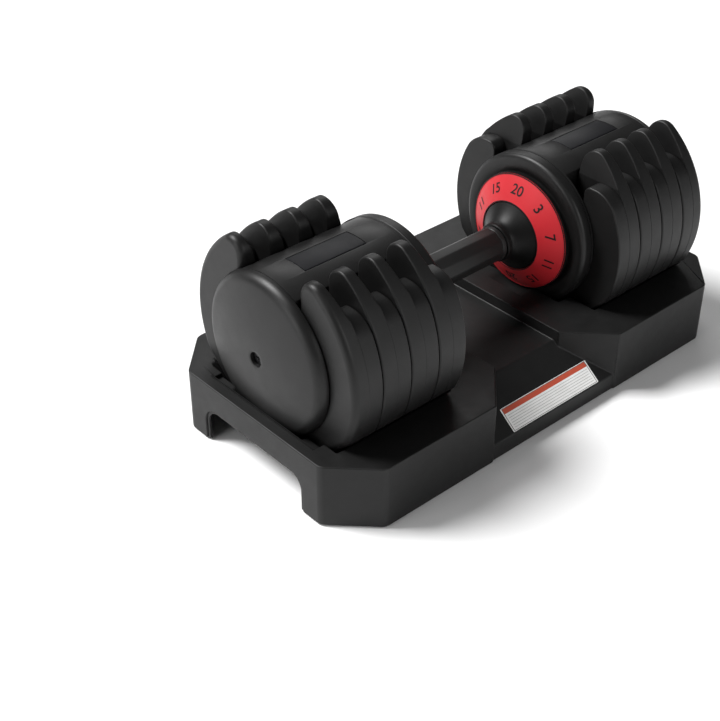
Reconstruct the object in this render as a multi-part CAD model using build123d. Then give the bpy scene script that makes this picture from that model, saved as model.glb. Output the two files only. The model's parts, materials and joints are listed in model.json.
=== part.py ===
from build123d import *
import os
from math import cos, radians, sin, sqrt, tan

# Adjustable dumbbell in its storage tray, millimetres. X runs along the handle, Z is up and the
# origin is at the bottom centre of the tray. Each head is drawn on the +X side and mirrored.
os.makedirs("parts", exist_ok=True)

# ---- driving dimensions: weight plates ----
plate_radius = 86.0
plate_count = 4            # plates in each head
plate_thickness = 25.1
plate_gap = 0.6            # air between neighbouring plates
step_thickness = 12.5      # inner layer of a plate, beside the handle
horn_notch = 30.0          # half width of the slot between the horns
horn_taper = 12.0          # degrees; the horns thin towards their tips
shoulder_drop = 33.5       # from the plates' circle down to the inner layer's shoulders
sole_half = 30.0           # half width of the flat that a plate rests on
sole_rise = 4.0            # how far the sole lies inside the plate's circle
flank_angle = 25.5         # degrees below the axis where the slanted flanks begin
jacket_wall = 1.5
horn_rounding = 12.0
shoulder_inner_rounding = 7.0
shoulder_outer_rounding = 22.0

# ---- driving dimensions: handle and shaft ----
grip_length = 72.0
grip_wall = 2.0
tube_radius = 12.0
tube_wall = 3.0
flat_depth = 1.6           # how deep the drive flats are cut into the tube
rod_radius = 6.0
rod_screw_radius = 3.0
key_clearance = 0.05
running_clearance = 0.05
bush_length = 12.0

# ---- driving dimensions: dial and hub ----
collar_step = 1.4          # how far the hub's collar stands above the grip
hub_length = 31.6
ring_inner_radius = 28.1
ring_outer_radius = 47.5
ring_start = 17.3          # from the hub's outer end to the red ring
ring_depth = 10.8
ring_wall = 2.4

# ---- driving dimensions: core between the plates ----
disc_radius = 61.4
disc_thickness = 9.8
disc_rounding = 4.0
flange_thickness = 1.8
saddle_clearance = 2.0     # saddle to the plates' horns
saddle_wall = 2.4
rib_clearance = 5.0        # ribs to the plates' horns
cap_length = 13.7
cap_dome = 6.0
cap_wall = 3.0
cap_rounding = 8.4
screw_well_radius = 5.6
badge_length = 54.0
badge_half = 10.3
badge_thickness = 1.0

# ---- driving dimensions: selector, index wheel and lock ----
selector_reach = 11.0      # how far the selector reaches past the horns' slot
selector_clearance = 5.0   # selector to the inner layer's slot
selector_hub = 4.0
selector_web = 2.8
lip_width = 5.0
lip_length = 3.8
catch_angle = 11.0         # half angle of a plate's catch
gap_angle = 16.8           # half angle of a lip's gap at one setting
setting_angle = 36.0
settings = 5               # from all plates down to none
wheel_radius = 24.0
wheel_thickness = 4.0
notch_width = 5.6
notch_depth = 5.8
lock_travel = 6.0
lock_arm = 6.0
ball_radius = 3.0
ball_angle = 18.0
spring_wire = 0.5

# ---- driving dimensions: tray ----
tray_top = 52.3
tray_wall = 3.0
tray_end_margin = 7.0      # from the caps to the tray's ends
tray_side_margin = 19.5    # from the plates' circle to the tray's sides
tray_corner = 32.0
block_start = 34.5         # inner edge of each raised block
front_corner = 33.0
back_corner_x = 17.5
back_corner_y = 25.0
well_floor = 15.5
deck_height = 43.0
deck_half = 68.0
skirt_height = 15.0
skirt_inset = 1.0
arch_half = 55.0
arch_height = 31.5
arch_rounding = 14.0
ledge_depth = 5.0
ledge_half = 57.0
foot_radius = 8.0
foot_height = 4.0
rim_lift = 1.0             # the moulding's rim above the floor
label_width = 19.6
label_thickness = 0.3
label_offset = 2.4
label_clearance = 0.8      # label's end to the raised block beside it

# ---- clearances ----
face_gap = 0.7             # between moving faces along the handle
well_gap = 2.5
dome_relief = 2.0          # the cap well ends this far inside the cap's apex
trough_gap = 2.0
flank_gap = 2.2
rest_gap = 0.1
pocket_gap = 0.4
bore_gap = 0.5

# ---- places worked out from the dimensions ----
plate_drop = plate_radius - sole_rise
grip_radius = tube_radius + grip_wall
tube_bore_radius = tube_radius - tube_wall
tube_flat = tube_radius - flat_depth
collar_radius = grip_radius + collar_step
selector_radius = horn_notch + selector_reach
step_notch = selector_radius + selector_clearance
saddle_half = horn_notch - saddle_clearance
saddle_inner = saddle_half - saddle_wall
saddle_skirt = sqrt((selector_radius + 2.0) ** 2 - saddle_inner**2)
rib_half = horn_notch - rib_clearance
beam_low = selector_radius + 2.0
beam_high = sqrt((disc_radius - saddle_wall) ** 2 - rib_half**2) - 1.4
axis_height = well_floor + rest_gap + plate_drop
hub_start = grip_length / 2
hub_end = hub_start + hub_length
disc_start = hub_end + 1.0
flange_start = disc_start + disc_thickness
plates_start = flange_start + flange_thickness + face_gap
plate_pitch = plate_thickness + plate_gap
plates_end = plates_start + plate_count * plate_pitch - plate_gap
cap_start = plates_end + face_gap
cap_end = cap_start + cap_length
tray_half_length = cap_end + tray_end_margin
tray_half_width = plate_radius + tray_side_margin
step_rise = plate_radius - shoulder_drop
flank_y = plate_radius * cos(radians(flank_angle))
flank_z = -plate_radius * sin(radians(flank_angle))
flank_slope = (flank_y - sole_half) / (flank_z + plate_drop)
catch_outer = selector_radius - lip_width - 0.8
catch_inner = catch_outer - 4.2
end_flange = 4.0
axis_line = Axis((0, 0, axis_height), (1, 0, 0))
parts = {}


# ---- helpers ----
def along_x(sketch, start, length):
    """Extrude a sketch drawn in (Y, height above the axis) along +X."""
    plane = Plane(origin=(start, 0, axis_height), x_dir=(0, 1, 0), z_dir=(1, 0, 0))
    return extrude(plane * sketch, length)


def cylinder_x(radius, start, length):
    return along_x(Circle(radius), start, length)


def turned(points):
    """Solid of revolution about the handle's axis from (X, radius) corners."""
    plane = Plane(origin=(0, 0, axis_height), x_dir=(1, 0, 0), z_dir=(0, -1, 0))
    return revolve(plane * make_face(Polyline(*points, close=True)), axis_line, 360)


def box(x0, x1, y0, y1, z0, z1):
    return Pos((x0 + x1) / 2, (y0 + y1) / 2, (z0 + z1) / 2) * Box(x1 - x0, y1 - y0, z1 - z0)


def rectangle(y0, y1, z0, z1):
    return Pos((y0 + y1) / 2, (z0 + z1) / 2) * Rectangle(y1 - y0, z1 - z0)


def polygon(points):
    return make_face(Polyline(*points, close=True))


def sector(inner, outer, middle, half):
    """Ring sector about the axis; angles in degrees from +Y towards +Z."""
    reach = 2.0 * outer
    corners = [(0, 0)]
    steps = max(2, int(half / 20.0) + 2)
    for i in range(steps + 1):
        angle = radians(middle - half + 2.0 * half * i / steps)
        corners.append((reach * cos(angle), reach * sin(angle)))
    return (Circle(outer) - Circle(inner)) & polygon(corners)


def double_d(radius, flat):
    return Circle(radius) & Rectangle(4 * radius, 2 * flat)


def add(name, shape):
    parts[name] = shape


def add_pair(name, shape):
    """A right-hand piece and its mirrored twin on the left."""
    parts[name + "_right"] = shape
    parts[name + "_left"] = mirror(shape, about=Plane.YZ)


def plate_start(index):
    return plates_start + index * plate_pitch


# ---- weight plates ----
def plate_blank(inset):
    """Round blank with slanted flanks and a flat sole, drawn about the axis."""
    radius = plate_radius - inset
    low = plate_drop - inset
    side = inset * sqrt(1 + flank_slope**2)
    top = plate_radius * 1.2
    knee = flank_z + 8.0
    foot_y = sole_half + flank_slope * inset - side
    corners = [(foot_y, -low), (flank_y + flank_slope * 8.0 - side, knee), (plate_radius * 1.2, knee + 10),
               (plate_radius * 1.2, top)]
    mirrored = [(-y, z) for y, z in reversed(corners)]
    return Circle(radius) & polygon(corners + mirrored)


def horn_layer(inset):
    """Outer layer of a plate: two tall horns beside a narrow round-bottomed slot."""
    slot = horn_notch + inset
    face = plate_blank(inset) - Circle(slot) - rectangle(-slot, slot, 0, 2 * plate_radius)
    tips = [v for v in face.vertices() if v.Y > slot and abs(v.X) < slot + 1]
    return fillet(tips, horn_rounding - inset)


def step_layer(inset):
    """Inner layer of a plate: lower shoulders beside a wide slot that clears the selector."""
    slot = step_notch + inset
    face = plate_blank(inset) - Circle(slot) - rectangle(-slot, slot, 0, 2 * plate_radius)
    face = face & rectangle(-plate_radius, plate_radius, -plate_radius, step_rise - inset)
    tops = [v for v in face.vertices() if v.Y > step_rise - inset - 0.1]
    face = fillet([v for v in tops if abs(v.X) > slot + 1], shoulder_outer_rounding - inset)
    tops = [v for v in face.vertices() if v.Y > step_rise - inset - 0.1 and abs(v.X) < slot + 1]
    return fillet(tops, shoulder_inner_rounding - inset)


def horn_slab(start, length, inset):
    """Horn layer of one plate; above the shoulders its inner side leans outwards."""
    low, high = step_rise - inset, 1.2 * plate_radius
    lean = (high - low) * tan(radians(horn_taper))
    corners = [(start - 1, low), (start, low), (start + lean, high), (start - 1, high)]
    plane = Plane(origin=(0, plate_radius, axis_height), x_dir=(1, 0, 0), z_dir=(0, -1, 0))
    wedge = extrude(plane * polygon(corners), 2 * plate_radius)
    return along_x(horn_layer(inset), start, length) - wedge


def catch(start):
    """Steel finger that reaches inward over the selector's lip, and its root in the horn layer."""
    finger = sector(catch_inner, catch_outer, -90, catch_angle)
    root = sector(catch_inner, catch_outer + 6.0, -90, catch_angle)
    web_end = start + 3.4 + selector_web
    finger_start = web_end + 0.6
    solid = along_x(finger, finger_start, start + step_thickness + 1.0 - finger_start)
    return solid + along_x(root, start + step_thickness, 8.0)


def weight_core(start):
    steel = along_x(step_layer(jacket_wall), start + jacket_wall, step_thickness)
    horn_start = start + step_thickness + jacket_wall
    steel += horn_slab(horn_start, start + plate_thickness - jacket_wall - horn_start, jacket_wall)
    return steel + catch(start)


def weight_jacket(start, last):
    horn = horn_slab(start + step_thickness, plate_thickness - step_thickness, 0)
    if last:
        rim = horn.faces().sort_by(Axis.X)[-1].edges().filter_by(lambda e: outside_edge(e))
        horn = chamfer(rim, jacket_wall)
    step = along_x(step_layer(0), start, step_thickness)
    return step + horn


def outside_edge(edge):
    """Edges on the plate's outer circle, away from the slot."""
    middle = edge.center()
    return (middle.Y**2 + (middle.Z - axis_height) ** 2) > (plate_radius * 0.93) ** 2


for index in range(plate_count):
    start = plate_start(index)
    core = weight_core(start)
    jacket = weight_jacket(start, index == plate_count - 1) - core
    number = str(index + 1)
    for side in ("right", "left"):
        turn = (lambda s: s) if side == "right" else (lambda s: mirror(s, about=Plane.YZ))
        add("weight_jacket_" + side + "_" + number, turn(jacket))
        add("weight_core_" + side + "_" + number, turn(core))


# ---- selector discs: a lip under each plate's catch, with gaps where the plate is left behind ----
def selector_disc(index):
    start = plate_start(index) + 3.4
    body = cylinder_x(selector_radius, start, selector_web)
    lip = Circle(selector_radius) - Circle(selector_radius - lip_width)
    dropped = [k for k in range(1, settings) if k > plate_count - 1 - index]
    if dropped:
        low, high = min(dropped) * setting_angle, max(dropped) * setting_angle
        for turn in (0, 180):
            middle = -90 - (low + high) / 2 + turn
            lip -= sector(1.0, selector_radius + 5, middle, (high - low) / 2 + gap_angle)
    body += along_x(lip, start + selector_web, lip_length)
    hub_radius = tube_radius + selector_hub
    hub = cylinder_x(hub_radius, start, 9.0)
    span = selector_radius - lip_width - hub_radius
    bore = double_d(tube_radius + key_clearance, tube_flat + key_clearance)
    windows = [Rot(0, 0, 60 * k) * Pos(hub_radius + span / 2, 0) * Circle(span / 4) for k in range(6)]
    body -= along_x(Sketch() + windows, start - 1, 20)
    return body + hub - along_x(bore, start - 1, 20)


for index in range(plate_count):
    add_pair("selector_disc_" + str(index + 1), selector_disc(index))


# ---- shaft, handle, hub and dial ----
def handle_tube():
    half = cap_start - 2.0
    flat_start = hub_start + 2.0
    tube = cylinder_x(tube_radius, -half, 2 * half)
    for start in (flat_start, -half):
        cut = Rectangle(4 * tube_radius, 4 * tube_radius) - Rectangle(4 * tube_radius, 2 * tube_flat)
        tube -= along_x(cut, start, half - flat_start)
    return tube - cylinder_x(tube_bore_radius, -half, 2 * half)


def tie_rod():
    half = cap_start + end_flange
    rod = cylinder_x(rod_radius, -half, 2 * half)
    for start in (half - 20, -half):
        rod -= cylinder_x(rod_screw_radius, start, 20)
    return rod


def handle_grip():
    sleeve = Circle(grip_radius) - Circle(tube_radius + key_clearance)
    return along_x(sleeve, -hub_start, grip_length)


def hub():
    """Flared hub: collar at the grip, hollow cone that carries the ring."""
    ring_x = hub_start + ring_start
    flare = ring_inner_radius - collar_radius
    points = [(hub_start, tube_radius - 1), (hub_start, collar_radius - 0.8),
              (hub_start + 0.8, collar_radius),
              (hub_start + 2.6, collar_radius), (hub_start + 2.9, collar_radius - 0.4),
              (hub_start + 3.3, collar_radius - 0.4), (hub_start + 3.6, collar_radius)]
    curve_start = hub_start + 4.2
    span = ring_x - curve_start
    for i in range(9):
        t = i / 8
        points.append((curve_start + span * t, collar_radius + (flare - 0.3) * t**1.5))
    back_x = ring_x + ring_wall + ring_depth
    rim = ring_outer_radius - ring_wall
    points += [(ring_x + ring_wall, ring_inner_radius - 0.3), (back_x, rim - 0.9), (hub_end, rim - 0.9),
               (hub_end, tube_radius - 1)]
    key = double_d(tube_radius + key_clearance, tube_flat + key_clearance)
    body = turned(points)
    body -= cylinder_x(tube_radius + key_clearance, hub_start - 1, 3.0)
    return body - along_x(key, hub_start, hub_length + 1)


def dial_ring():
    front = hub_start + ring_start
    back = front + ring_depth
    inner = ring_inner_radius - 0.25
    rim = ring_outer_radius - ring_wall - 0.85
    return turned([(front, inner), (front, ring_inner_radius), (back, ring_outer_radius),
                   (back + ring_wall, ring_outer_radius), (back + ring_wall, rim),
                   (front + ring_wall, inner)])


def index_wheel():
    start = disc_start + disc_thickness - 1.4 - wheel_thickness
    face = Circle(wheel_radius)
    for k in range(10):
        notch = rectangle(-notch_width / 2, notch_width / 2, wheel_radius - notch_depth, wheel_radius + 2)
        face -= Rot(0, 0, k * setting_angle) * notch
    bore = double_d(tube_radius + key_clearance, tube_flat + key_clearance)
    return along_x(face - bore, start, wheel_thickness)


add("tie_rod", tie_rod())
add("handle_tube", handle_tube())
add("handle_grip", handle_grip())
add_pair("hub", hub())
add_pair("dial_ring", dial_ring())
add_pair("index_wheel", index_wheel())

bush_places = (-cap_start + 4, -hub_end, hub_end - bush_length, cap_start - 4 - bush_length)
bush_face = Circle(tube_bore_radius - running_clearance) - Circle(rod_radius)
add("rod_bushes", Compound(children=[along_x(bush_face, x, bush_length) for x in bush_places]))


# ---- inner disc with the lock slider, its spring and the detent ball ----
slide_start = disc_start + disc_thickness - 1.4 - wheel_thickness
tooth_low = wheel_radius + 0.9
bar_low = tooth_low + lock_arm
bar_high = bar_low + lock_arm
foot_low = -(disc_radius + 1.7)
arm_y = -(wheel_radius + 3.0)
spring_y = -15.0
spring_top = bar_high + 12.0
spring_bore_end = wheel_radius + 17.0


def slider_face(grow, drop):
    """Lock slider's outline, grown by a clearance and stretched down by its travel."""
    low = -bar_high - drop - grow
    tooth = notch_width / 2 - 0.2 + grow
    face = rectangle(-tooth, tooth, tooth_low - drop - grow, bar_high)
    face += rectangle(arm_y - lock_arm - grow, 6 + grow, bar_low - drop - grow, bar_high + grow)
    face += rectangle(arm_y - lock_arm - grow, arm_y + grow, low, bar_high + grow)
    face += rectangle(arm_y - lock_arm - grow, 5 + grow, low, -bar_low + grow)
    return face + rectangle(-5 - grow, 5 + grow, foot_low - drop, -bar_low)


def radial_cylinder(radius, near, far):
    """Cylinder along the ball's line, which points ball_angle above +Y."""
    place = Pos(slide_start + wheel_thickness / 2, 0, axis_height) * Rot(ball_angle, 0, 0)
    return place * Pos(0, (near + far) / 2, 0) * Rot(90, 0, 0) * Cylinder(radius, far - near)


screw_ring = disc_radius - 8.4
screw_spots = [(screw_ring * cos(radians(a)), screw_ring * sin(radians(a))) for a in (60, 180, -40)]


def disc_screw(y, z):
    shank = Pos(y, z) * Circle(1.5)
    head = Pos(y, z) * Circle(2.8)
    return along_x(shank, disc_start + 4, disc_thickness - 4 + 0.8) + along_x(head, flange_start + 0.6, 1.2)


def inner_disc():
    front, back = disc_start, flange_start
    body = cylinder_x(disc_radius, front, back - front)
    body = fillet(body.edges().group_by(Axis.X)[0], disc_rounding)
    pocket = Circle(wheel_radius + pocket_gap) + slider_face(pocket_gap, lock_travel)
    pocket += rectangle(spring_y - 4, spring_y + 4, bar_high, spring_top + 0.2)
    body -= along_x(pocket, slide_start - pocket_gap, back)
    body -= radial_cylinder(ball_radius + 0.1, wheel_radius - 2, spring_bore_end)
    body -= cylinder_x(tube_radius + bore_gap, front - 1, 40)
    for y, z in screw_spots:
        body -= disc_screw(y, z)
    return body


def helix_spring(radius, length, turns):
    path = Helix(pitch=(length - 2 * spring_wire) / turns, height=length - 2 * spring_wire, radius=radius)
    section = Plane(path @ 0, z_dir=path % 0) * Circle(spring_wire)
    return Pos(0, 0, spring_wire) * sweep(section, path, is_frenet=True)


def lock_spring():
    place = Pos(slide_start + wheel_thickness / 2, spring_y, axis_height + bar_high + 0.05)
    return place * helix_spring(wheel_thickness / 2 - 0.1, spring_top - bar_high - 0.1, 6)


def detent_spring():
    place = Pos(slide_start + wheel_thickness / 2, 0, axis_height) * Rot(ball_angle, 0, 0)
    near = wheel_radius + 2 * ball_radius + 0.3
    return place * Pos(0, near, 0) * Rot(-90, 0, 0) * helix_spring(2.3, spring_bore_end - near - 0.2, 5)


def detent_ball():
    place = Pos(slide_start + wheel_thickness / 2, 0, axis_height) * Rot(ball_angle, 0, 0)
    return place * Pos(0, wheel_radius + ball_radius + 0.1, 0) * Sphere(ball_radius)


add_pair("inner_disc", inner_disc())
add_pair("lock_slider", along_x(slider_face(0, 0), slide_start, wheel_thickness))
add_pair("lock_spring", lock_spring())
add_pair("detent_ball", detent_ball())
spring = detent_spring()
add("detent_springs", Compound(children=[spring, mirror(spring, about=Plane.YZ)]))
screws = [disc_screw(y, z) for y, z in screw_spots]
screws += [mirror(s, about=Plane.YZ) for s in screws]
add("disc_screws", Compound(children=screws))


# ---- core frame, saddle cover, badge and end cap ----
def core_frame():
    """Front flange, top beam, a rib inside each plate's slot and the end flange, in one moulding."""
    body = cylinder_x(disc_radius, flange_start, flange_thickness)
    body += along_x(rectangle(-rib_half, rib_half, beam_low, beam_high), flange_start,
                    cap_start + 1 - flange_start)
    rib = Circle(rib_half) + rectangle(-rib_half, rib_half, 0, beam_low + 1)
    for index in range(plate_count):
        body += along_x(rib, plate_start(index) + step_thickness + 2.0, 8.5)
    body += cylinder_x(disc_radius - cap_wall - 0.4, cap_start, end_flange)
    body -= cylinder_x(tube_radius + bore_gap, flange_start - 1, cap_start - flange_start)
    body -= cylinder_x(rod_radius, cap_start - 2, 10)
    for y, z in screw_spots:
        body -= disc_screw(y, z)
    return body


def saddle_profile(radius, half, low):
    return Circle(radius) & rectangle(-half, half, low, 2 * radius)


badge_start = (plates_start + plates_end - badge_length) / 2 + 1.0


def saddle_cover():
    outer = saddle_profile(disc_radius, saddle_half, saddle_skirt)
    inner = saddle_profile(disc_radius - saddle_wall, saddle_inner, saddle_skirt - 1)
    start = flange_start + flange_thickness
    shell = along_x(outer - inner, start, cap_start - start)
    return shell - badge()


def badge():
    strip = (Circle(disc_radius + 0.1) - Circle(disc_radius - badge_thickness))
    strip = strip & rectangle(-badge_half, badge_half, 0, 2 * disc_radius)
    return along_x(strip, badge_start, badge_length)


def end_cap():
    dome_radius = (disc_radius**2 + cap_dome**2) / (2 * cap_dome)
    blank = cylinder_x(disc_radius, cap_start, cap_length)
    ball = Pos(cap_end - dome_radius, 0, axis_height) * Sphere(dome_radius)
    body = blank & ball
    rim = body.edges().filter_by(GeomType.CIRCLE).sort_by(Axis.X)[-1]
    body = fillet(rim, cap_rounding)
    hollow = cylinder_x(disc_radius - cap_wall, cap_start, end_flange + 0.6)
    hollow += cylinder_x(disc_radius - 2 * cap_rounding, cap_start, cap_length - cap_dome / 2 - cap_wall)
    hollow -= cylinder_x(screw_well_radius + cap_wall, cap_start + end_flange, cap_length)
    body -= hollow
    body -= cylinder_x(rod_screw_radius + 0.3, cap_start, cap_length + 1)
    return body - cylinder_x(screw_well_radius, cap_end - 6.5, 10)


def end_screw():
    seat = cap_end - 6.5 + 1.0
    head = cylinder_x(screw_well_radius - 0.6, seat, 2.4)
    slot = Rectangle(6.4, 1.2) + Rectangle(1.2, 6.4)
    head -= along_x(slot, seat + 1.0, 5)
    return head + cylinder_x(rod_screw_radius, cap_start - 10, seat + 0.5 - cap_start + 10)


def end_washer():
    return along_x(Circle(screw_well_radius - 0.2) - Circle(rod_screw_radius), cap_end - 6.5, 1.0)


add_pair("core_frame", core_frame())
add_pair("saddle_cover", saddle_cover())
add_pair("badge", badge())
add_pair("end_cap", end_cap())
add("end_screws", Compound(children=[end_screw(), mirror(end_screw(), about=Plane.YZ)]))
add("end_washers", Compound(children=[end_washer(), mirror(end_washer(), about=Plane.YZ)]))


# ---- tray ----
def block_outline(inset):
    """Plan of the right-hand raised block."""
    end, side = tray_half_length, tray_half_width
    corners = [(block_start, -side + front_corner), (block_start + front_corner, -side),
               (end - tray_corner, -side), (end, -side + tray_corner),
               (end, side - tray_corner), (end - tray_corner, side),
               (block_start + back_corner_x, side), (block_start, side - back_corner_y)]
    face = polygon(corners)
    return offset(face, -inset, kind=Kind.INTERSECTION) if inset else face


def block(inset, low, high):
    return extrude(Pos(0, 0, low) * block_outline(inset), high - low)


def centre_section(inset):
    """Low middle of the tray: flat deck, slanted shoulders, upright skirts."""
    side = tray_half_width - skirt_inset - inset
    reach = block_start + front_corner - inset
    deck = deck_height - inset
    knee = skirt_height - inset * 0.35
    corners = [(side, 0), (side, knee), (deck_half - inset * 0.35, deck)]
    mirrored = [(-y, z) for y, z in reversed(corners)]
    plane = Plane(origin=(-reach, 0, 0), x_dir=(0, 1, 0), z_dir=(1, 0, 0))
    return extrude(plane * polygon(corners + mirrored), 2 * reach)


def well_half(height):
    """Half width of a plate well at a height above the floor."""
    return sole_half + (height - axis_height + plate_drop) * flank_slope + flank_gap


def well(grow):
    top = tray_top + 5
    low = well_floor - grow
    side = grow * sqrt(1 + flank_slope**2)
    corners = [(well_half(low) + side, low - axis_height), (well_half(top) + side, top - axis_height)]
    mirrored = [(-y, z) for y, z in reversed(corners)]
    start = plates_start - well_gap - grow
    length = plates_end + well_gap + grow - start
    return along_x(polygon(corners + mirrored), start, length)


def disc_well(grow):
    start = disc_start - well_gap - grow
    return cylinder_x(disc_radius + well_gap + grow, start, plates_start + well_gap - start)


def cap_well(grow):
    """Round recess under the end cap, with a shallow ledge beside it."""
    end = cap_end - dome_relief + grow
    round_part = cylinder_x(disc_radius + well_gap + grow, plates_end, end - plates_end)
    half, low = ledge_half + grow, tray_top - ledge_depth - grow
    shelf = box(plates_end, end, -half, half, low, tray_top + 5)
    return round_part + shelf


def ring_trough(grow):
    start = hub_start + ring_start - trough_gap - grow
    return cylinder_x(ring_outer_radius + trough_gap + grow, start, disc_start - start)


post_x = slide_start + wheel_thickness / 2
post_radius = 4.0
post_top = axis_height + foot_low - rest_gap
foot_spots = [(sx * (tray_half_length - 40), sy * (tray_half_width - 18)) for sx in (1, -1) for sy in (1, -1)]


def tray_shell():
    raised = block(0, rim_lift, tray_top)
    raised_hollow = block(tray_wall, 0, tray_top - tray_wall)
    cuts = well(0) + disc_well(0) + cap_well(0) + ring_trough(0)
    liners = well(tray_wall) + disc_well(tray_wall) + cap_well(tray_wall) + ring_trough(tray_wall)
    liners = liners & block(0, rim_lift, tray_top)
    socket = Pos(post_x, 0, 0) * Cylinder(post_radius + tray_wall, 2 * (post_top - 1.5))
    liners += socket & box(0, tray_half_length, -50, 50, post_top - 12, post_top)
    arch = rectangle(-arch_half, arch_half, -axis_height - 20, arch_height - axis_height)
    arch = fillet(arch.vertices().sort_by(Axis.Y)[-2:], arch_rounding)
    ends = along_x(arch, tray_half_length - tray_wall - 2, 10)
    body = centre_section(0) & box(-tray_half_length, tray_half_length, -200, 200, rim_lift, tray_top)
    hollow = centre_section(tray_wall)
    for turn in (lambda s: s, lambda s: mirror(s, about=Plane.YZ)):
        body += turn(raised)
        hollow += turn(raised_hollow)
    body -= hollow
    for turn in (lambda s: s, lambda s: mirror(s, about=Plane.YZ)):
        body += turn(liners)
        body -= turn(cuts)
        body -= turn(ends)
        body -= turn(Pos(post_x, 0, post_top - 5) * Cylinder(post_radius, 10))
    for x, y in foot_spots:
        boss = box(x - 10, x + 10, y - 10, y + 10, foot_height, tray_top - tray_wall + 0.5)
        body += boss - (well(tray_wall) if x > 0 else mirror(well(tray_wall), about=Plane.YZ))
    return body


def label():
    """Blank sticker on the front slope, just above the skirt."""
    side = tray_half_width - skirt_inset
    run, rise = side - deck_half, deck_height - skirt_height
    length = sqrt(run**2 + rise**2)
    along = Vector(0, run / length, rise / length)
    normal = Vector(0, -rise / length, run / length)
    centre = Vector(label_offset, -side, skirt_height) + along * (1.0 + label_width / 2)
    upper_edge = skirt_inset + (1.0 + label_width) * run / length
    half = block_start + front_corner - upper_edge - label_clearance - label_offset
    plane = Plane(origin=centre, x_dir=(1, 0, 0), z_dir=normal)
    return extrude(plane * Rectangle(2 * half, label_width), label_thickness)


post = Pos(post_x, 0, post_top - 5) * Cylinder(post_radius, 10)
add("tray_shell", tray_shell())
add("tray_feet", Compound(children=[Pos(x, y, foot_height / 2) * Cylinder(foot_radius, foot_height)
                                    for x, y in foot_spots]))
add("tray_label", label())
add("release_posts", Compound(children=[post, mirror(post, about=Plane.YZ)]))

for name, shape in parts.items():
    export_step(shape, "parts/" + name + ".step")
print(len(parts), "nodes; axis", round(axis_height, 2), "tray", 2 * tray_half_length, 2 * tray_half_width)
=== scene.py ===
import json
from math import asin, atan2, cos, degrees, hypot, pi, radians, sin, sqrt, tan

import bmesh
import bpy
from bpy.props import FloatProperty, FloatVectorProperty, IntProperty, PointerProperty
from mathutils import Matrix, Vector

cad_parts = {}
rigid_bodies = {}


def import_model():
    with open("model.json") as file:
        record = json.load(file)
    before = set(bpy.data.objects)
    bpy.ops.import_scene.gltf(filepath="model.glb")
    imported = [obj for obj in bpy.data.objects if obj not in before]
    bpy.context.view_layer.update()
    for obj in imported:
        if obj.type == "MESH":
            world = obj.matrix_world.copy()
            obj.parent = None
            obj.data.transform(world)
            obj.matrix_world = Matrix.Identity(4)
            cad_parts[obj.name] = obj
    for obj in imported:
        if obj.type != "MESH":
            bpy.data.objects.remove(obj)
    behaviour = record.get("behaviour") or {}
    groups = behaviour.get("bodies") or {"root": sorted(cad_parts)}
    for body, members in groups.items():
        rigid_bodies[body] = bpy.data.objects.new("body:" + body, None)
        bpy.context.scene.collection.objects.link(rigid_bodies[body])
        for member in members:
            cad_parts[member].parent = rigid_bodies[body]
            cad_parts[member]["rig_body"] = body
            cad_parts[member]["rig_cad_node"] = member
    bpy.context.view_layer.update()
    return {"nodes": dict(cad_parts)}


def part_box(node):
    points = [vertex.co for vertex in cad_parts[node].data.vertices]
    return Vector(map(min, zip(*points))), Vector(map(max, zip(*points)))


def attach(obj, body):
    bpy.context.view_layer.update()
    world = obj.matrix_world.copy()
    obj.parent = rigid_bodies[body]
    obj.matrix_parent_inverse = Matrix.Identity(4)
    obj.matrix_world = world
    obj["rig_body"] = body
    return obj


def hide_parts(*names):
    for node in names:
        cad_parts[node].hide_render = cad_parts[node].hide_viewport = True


bl_info = {
    "name": "Adjustable dumbbell in its tray",
    "version": (1, 0, 0),
    "blender": (4, 5, 0),
    "location": "3D View > Sidebar > Dumbbell",
    "description": "Models the dumbbell's plates, covers, dials, grip and tray round its packed parts",
    "category": "Object",
}

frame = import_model()

SIDES = ("right", "left")
PLATE_NUMBERS = (1, 2, 3, 4)

disc_low, disc_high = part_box("inner_disc_right")
plate_low, plate_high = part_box("weight_jacket_right_1")
cap_low, cap_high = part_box("end_cap_right")
ring_low, ring_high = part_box("dial_ring_right")
hub_low, hub_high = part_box("hub_right")
saddle_low, saddle_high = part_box("saddle_cover_right")
badge_low, badge_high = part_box("badge_right")
grip_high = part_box("handle_grip")[1]
tray_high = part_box("tray_shell")[1]
label_low, label_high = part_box("tray_label")
AXIS = (disc_low.z + disc_high.z) / 2


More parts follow.
